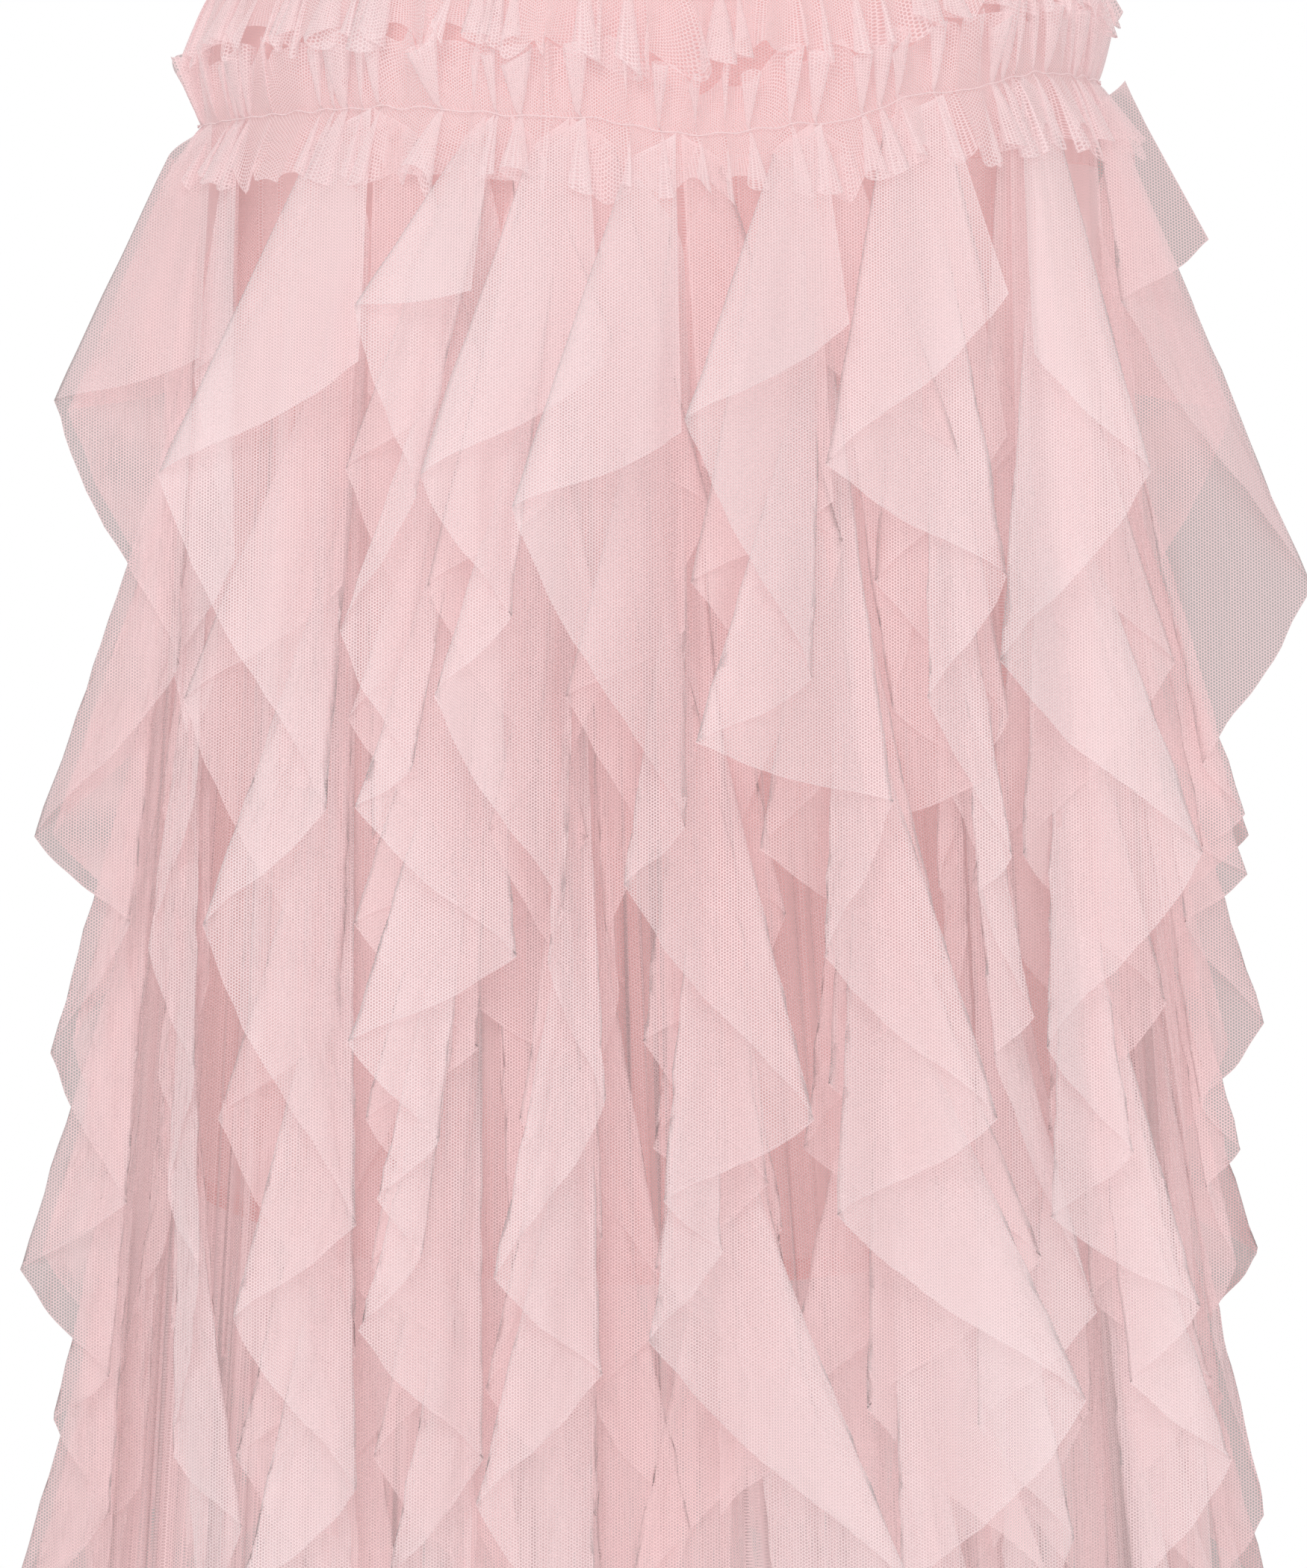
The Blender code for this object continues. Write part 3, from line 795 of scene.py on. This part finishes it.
def makeLining():
    # a straight slip: it keeps the body's form to the hips, then hangs straighter than the net,
    # with soft folds that deepen to a turned-up hem, rounded so that it is lower in front
    slip = lining
    angle = ringAngles(slip["columns"])
    evenShares = np.linspace(0, slip["evenTo"], slip["evenRows"])
    share = np.concatenate([evenShares, slip["hemLevels"]])[None, :]
    top = body["bandHeight"] + body["seamGap"]
    hem = slip["frontDrop"] - slip["sideRise"] * np.abs(np.sin(angle)) ** slip["rounding"]
    drop = top + (hem - top) * share
    fromHem = (1 - share) * (hem - top)
    straight = (body["widthFlare"] - slip["flare"]) * np.maximum(drop - body["hipDrop"], 0)
    folds = wander(angle, 31, 4, 13) * slip["foldDepth"] * smoothStep(drop, *slip["foldDrops"])
    aboveHem = smoothStep(fromHem, slip["hemBand"] - slip["hemStep"], slip["hemBand"])
    turnedUp = slip["hemThickness"] * (1 - aboveHem)
    off = -slip["inset"] - straight - slip["halfWall"] + folds + turnedUp
    points = aroundSkirt(angle, drop, off)
    around = lengthAround(points)
    uv = tubeUv(slip["columns"], around, closedLoop(drop))
    piece = gridMesh("lining_satin", [(points, uv, fromHem, 0.5)], True, liningCloth)
    fasten(piece, "lining")


def signedPower(value, power):
    return np.sign(value) * np.abs(value) ** power


def makeWaistband():
    # a strip with a rounded oblong section, a squared circle, carried round the waist
    angle = ringAngles(band["columns"])
    corner = np.linspace(0, 2 * np.pi, band["sectionSteps"], endpoint=False)[None, :]
    off = band["wall"] / 2 * signedPower(signedPower(np.cos(corner), 0.8), 0.5)
    drop = body["bandHeight"] / 2 * (1 + signedPower(np.sin(corner), 0.25))
    points = aroundSkirt(angle, drop, off)
    uv = tubeUv(band["columns"], band["around"], drop)
    points = np.concatenate([points, points[:, :1]], axis=1)
    uv = np.concatenate([uv, uv[:, :1]], axis=1)
    piece = gridMesh("waistband_ribbon", [(points, uv, 1.0, 0.5)], True, bandCloth)
    mergeSeam(piece)
    fasten(piece, "waistband")


def mergeSeam(piece):
    # joins the row of points that closes a tube's section
    working = bmesh.new()
    working.from_mesh(piece.data)
    bmesh.ops.remove_doubles(working, verts=working.verts, dist=0.00001)
    bmesh.ops.recalc_face_normals(working, faces=working.faces)
    working.to_mesh(piece.data)
    working.free()


makeYoke()
makeLining()
makeWaistband()
print("yoke, lining and waistband made")

# Gathered headings

heading = {
    "pleats": 86,
    "pleatWander": 5.0,
    "columns": 1944,
    "rows": 23,
    "reach": 0.0262,
    "radius": 0.155,
    "threadStandOff": 0.0009,
    "threadRipple": 0.0006,
    "leastStandOff": 0.0004,
    "otherFlips": 0.4,
    "loosePower": 0.8,
    "upperShift": 0.6,
    "evenStrength": 0.75,
    "unevenStrength": 0.50,
    "leanAtThread": 0.35,
    "ease": 1.05,
    # painted shade: a value a little below the top plies' paints the headings slightly darker
    "paintedShadeAndTone": 0.80,
    "pleatDepth": 0.0056,
    "pleatLean": 0.0066,
    "pleatTilt": 0.0020,
    "edgeJitter": 0.0044,
    "strips": (
        # name, rise above the stitch line, flare of its upper and lower edge, seed
        ("heading_lower", 0.0, 0.0046, 0.0115, 51),
        ("heading_upper", 0.0540, 0.0080, 0.0080, 52),
    ),
    # where an edge is turned out further: angle in degrees, width, how far, which edge
    "flips": (
        (-84, 4.0, 0.0075, 1),
        (-76, 3.0, 0.0040, 1),
        (-31, 5.0, 0.0045, 1),
        (4, 4.5, 0.0045, 1),
        (47, 5.0, 0.0035, 1),
        (84, 4.0, 0.0060, -1),
        (150, 5.0, 0.0040, 1),
        (-140, 5.0, 0.0040, 1),
    ),
}


def makeHeading(name, rise, upperFlare, lowerFlare, seed):
    # a strip gathered on a thread along its middle: pleats of uneven width, packed at the thread
    # and leaning over each other towards both free edges, which flare off the skirt
    h = heading
    angle = ringAngles(h["columns"])
    side = np.linspace(-1, 1, h["rows"])[None, :]
    loose = np.abs(side) ** h["loosePower"]
    upper = side < 0
    shift = np.where(upper, h["upperShift"], 0.0) + 0.35 * wander(angle, seed + 3, 6, 30) * side
    phase = h["pleats"] * angle + h["pleatWander"] * wander(angle, seed, 5, 38) + shift
    strength = h["evenStrength"] + h["unevenStrength"] * wander(angle, seed + 1, 10, 70)
    pleat = np.sin(phase) + 0.28 * np.sin(2 * phase + 1.1)
    lean = np.cos(phase) + 0.25 * wander(angle, seed + 2, 20, 90)
    atThread = h["leanAtThread"]
    leanAcross = h["pleatLean"] * (atThread + (1 - atThread) * loose) * lean * strength
    turnedAngle = angle + leanAcross / h["radius"]
    flips = 0.0
    degrees = (np.degrees(angle) + 180) % 360 - 180
    for centre, width, far, edge in h["flips"]:
        near = np.exp(-(((degrees - centre) / width) ** 2))
        flips = flips + far * near * np.where(side * edge < 0, loose**1.5, 0)
    flare = np.where(upper, upperFlare, lowerFlare)
    atThread, least = h["threadStandOff"], h["leastStandOff"]
    flips = flips * (1.0 if rise == 0 else h["otherFlips"])
    depth = atThread + (flare - atThread) * loose + flips
    ripple = h["threadRipple"] + (h["pleatDepth"] - h["threadRipple"]) * loose
    off = np.maximum(depth + ripple * strength * pleat, least + least * loose)
    uneven = wander(angle, seed + 4, 30, 120) + wander(angle, seed + 5, 4, 14)
    jitter = h["edgeJitter"] * loose * side * uneven
    tilt = h["pleatTilt"] * loose * side * strength * np.sin(phase + 1.2)
    drop = stitchDrop(turnedAngle) - rise + side * h["reach"] + jitter + tilt
    points = aroundSkirt(turnedAngle, drop, off)
    around = runLength(closedLoop(points)[:, h["rows"] // 4])
    uv = np.stack(np.broadcast_arrays(around[:, None], side * h["reach"]), -1)
    fromEdge = (1 - np.abs(side)) * h["reach"]
    piece = gridMesh(name + "_net", [(points, uv, fromEdge, h["paintedShadeAndTone"])], True, netCloth)
    fasten(piece, name)


def makeStitching(name, rise):
    # one thread round the skirt on the stitch line, that dips into the net between stitches
    angle = ringAngles(thread["columns"])
    drop = stitchDrop(angle) - rise + thread["waver"] * wander(angle, 61, 20, 90)
    stitches = round(thread["around"] / thread["stitch"])
    dip = thread["dip"] * (1 - np.abs(np.sin(stitches * angle / 2)) ** 0.5)
    turn = np.linspace(0, 2 * np.pi, thread["sides"] + 1)[None, :]
    down, out = thread["radius"] * np.sin(turn), thread["radius"] * np.cos(turn)
    points = aroundSkirt(angle, drop + down, thread["standOff"] - dip + out)
    uv = tubeUv(thread["columns"], thread["around"], turn)
    piece = gridMesh(name, [(points, uv, 1.0, 0.5)], True, threadFinish)
    mergeSeam(piece)
    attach(piece, "root")


for strip in heading["strips"]:
    makeHeading(*strip)
for stitching, strip in zip(("stitching_lower", "stitching_upper"), heading["strips"]):
    makeStitching(stitching, strip[1])
print("headings made")

# Floor, lights and camera

stage = {
    "floorDrop": 0.93,
    "floorRadii": (0.0001, 1.6),
    "floorSides": 96,
    "floorColour": (0.9, 0.9, 0.9, 1),
    "lightAim": (0, 0, -0.4),
    # painted shade: the grey seen through the net stands in for the shade behind the skirt
    "paintedShadeBehindNet": (0.40, 0.385, 0.38),
    "ambient": 0.455,
    "lights": (
        # name, place, power, size, throws shadows
        ("key", (-1.4, -2.0, 0.6), 15.0, 1.6, False),
        ("fill", (1.5, -2.0, 0.2), 14.0, 1.6, False),
        ("left", (-3.0, -0.6, -0.2), 3.5, 1.6, False),
        ("right", (3.0, -0.6, -0.2), 7.0, 1.6, False),
        ("behind left", (-1.4, 2.0, 0.9), 13.0, 1.6, False),
        ("behind right", (1.5, 2.0, 0.3), 14.0, 1.6, False),
        ("shade", (-0.5, -2.2, 1.3), 14.0, 1.2, True),
    ),
}


def makeFloor():
    # a round plain floor below the hem
    turn = ringAngles(stage["floorSides"])
    far = np.array(stage["floorRadii"])[None, :]
    x, y = far * np.cos(turn), far * np.sin(turn)
    points = np.stack(np.broadcast_arrays(x, y, -stage["floorDrop"]), -1)
    material, _, shader = newMaterial("paleFloor")
    setLooks(shader, {"Base Color": stage["floorColour"], "Roughness": 0.9})
    uv = closedLoop(points)[..., :2]
    floor = gridMesh("floor", [(points, uv, 1.0, 0.5)], True, material)


def makeWorld():
    # white where it is seen directly and a soft grey where it is seen through the net, as in the
    # photograph; other rays get an even ambient light
    world = bpy.data.worlds.new("studio")
    world.use_nodes = True
    tree = world.node_tree
    background = tree.nodes["Background"]
    path = addNode(tree, "ShaderNodeLightPath")
    # painted shade: rays that passed through the net see a darker grey than the white backdrop
    through = math(tree, "GREATER_THAN", path.outputs["Transparent Depth"], 0.5)
    seen = mixColours(tree, through, (1, 1, 1), stage["paintedShadeBehindNet"])
    ambient = (stage["ambient"],) * 3
    inputs = [(0, path.outputs["Is Camera Ray"]), (6, (*ambient, 1)), (7, seen)]
    colour = addNode(tree, "ShaderNodeMix", inputs, data_type="RGBA").outputs[2]
    tree.links.new(colour, background.inputs["Color"])
    world.cycles.sampling_method = "NONE"
    bpy.context.scene.world = world


def addLight(name, place, power, size, throwsShadows):
    # sheer net glows with light that comes through it from ply to ply, so only one light is
    # stopped by what it meets
    lamp = bpy.data.lights.new(name, "AREA")
    lamp.energy = power
    lamp.size = size
    lamp.use_shadow = throwsShadows
    lampObject = bpy.data.objects.new(name, lamp)
    lampObject.location = place
    aim = Vector(stage["lightAim"]) - Vector(place)
    lampObject.rotation_euler = aim.to_track_quat("-Z", "Y").to_euler()
    bpy.context.scene.collection.objects.link(lampObject)


camera = {
    "distance": 5.0,
    "frameHeight": 0.630,
    "frameMiddle": (0.0015, -0.03, -0.425),
    "sensor": 36.0,
}


def makeCamera():
    lens = bpy.data.cameras.new("camera")
    lens.sensor_fit = "VERTICAL"
    lens.sensor_height = camera["sensor"]
    lens.lens = camera["sensor"] * camera["distance"] / camera["frameHeight"]
    cameraObject = bpy.data.objects.new("camera", lens)
    x, y, z = camera["frameMiddle"]
    cameraObject.location = (x, y - camera["distance"], z)
    cameraObject.rotation_euler = (np.pi / 2, 0, 0)
    bpy.context.scene.collection.objects.link(cameraObject)
    bpy.context.scene.camera = cameraObject


makeFloor()
makeWorld()
for light in stage["lights"]:
    addLight(*light)
makeCamera()
bpy.context.scene.view_settings.view_transform = "Standard"
cycles = bpy.context.scene.cycles
cycles.transparent_max_bounces = 24
cycles.max_bounces = 3
cycles.diffuse_bounces = 2
cycles.use_light_tree = False
print("stage made")
